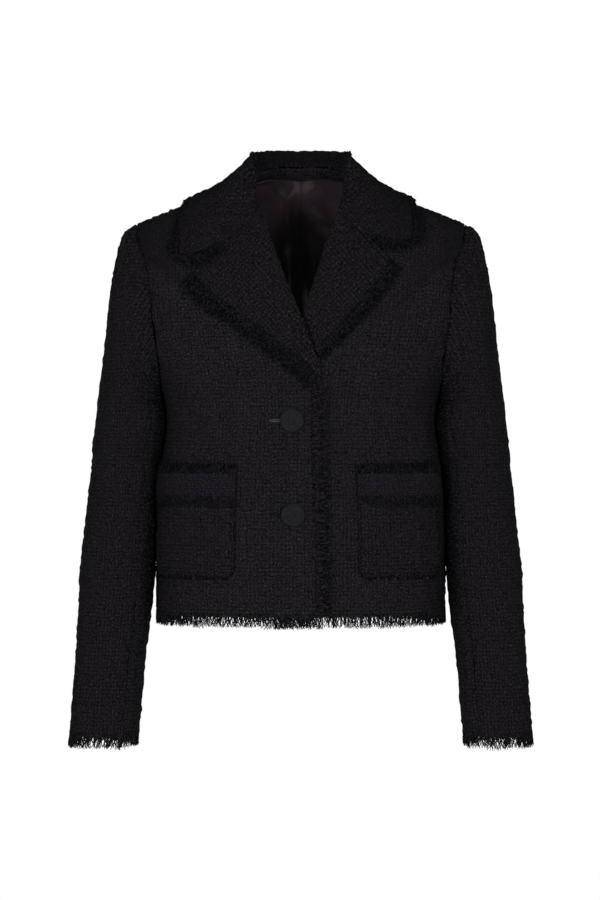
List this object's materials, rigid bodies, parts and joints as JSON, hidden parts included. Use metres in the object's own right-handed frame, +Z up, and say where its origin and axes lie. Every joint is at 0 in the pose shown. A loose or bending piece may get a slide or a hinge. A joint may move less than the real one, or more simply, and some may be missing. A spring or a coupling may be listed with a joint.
{
  "type": "cropped tweed jacket",
  "caption": "Cropped hip-length tweed jacket with notched lapels, raw fringed edges, patch pockets and covered buttons, filled out as worn and hollow.",
  "frame": {"origin": "midway between the two side neck points, at the height where the shoulder seams meet the collar, at mid depth of the body", "axes": "+Z up the wearer's back; +X to the wearer's left; the front faces -Y"},
  "size_m": [0.538, 0.2433, 0.7008],
  "materials": {
    "tweed": "black textured wool tweed, open weave, matt",
    "fringe": "black raw yarn fringe, matt",
    "pocket_band": "black tweed band on the cross, matt",
    "lining_satin": "black satin lining, glossy",
    "neck_tape": "black woven tape",
    "button_cloth": "black fine ribbed cloth over a domed button"
  },
  "bodies": {
    "root": {"back": "tweed", "front_right": "tweed", "front_left": "tweed", "back_neck_facing": "tweed", "collar": "tweed", "collar_fringe": "fringe", "neck_tape": "neck_tape", "lapel_right": "tweed", "lapel_left": "tweed", "lapel_fringe_right": "fringe", "lapel_fringe_left": "fringe", "front_edge_fringe": "fringe", "hem_fringe_right": "fringe", "hem_fringe_left": "fringe", "hem_fringe_back": "fringe", "cuff_fringe_right": "fringe", "cuff_fringe_left": "fringe", "sleeve_top_right": "tweed", "sleeve_top_left": "tweed", "sleeve_under_right": "tweed", "sleeve_under_left": "tweed", "pocket_right": "tweed", "pocket_left": "tweed", "pocket_band_right": "pocket_band", "pocket_band_left": "pocket_band", "pocket_top_fringe_right": "fringe", "pocket_top_fringe_left": "fringe", "pocket_low_fringe_right": "fringe", "pocket_low_fringe_left": "fringe", "lining_back_right": "lining_satin", "lining_back_left": "lining_satin", "button_upper": "button_cloth", "button_lower": "button_cloth"}
  },
  "joints": []
}
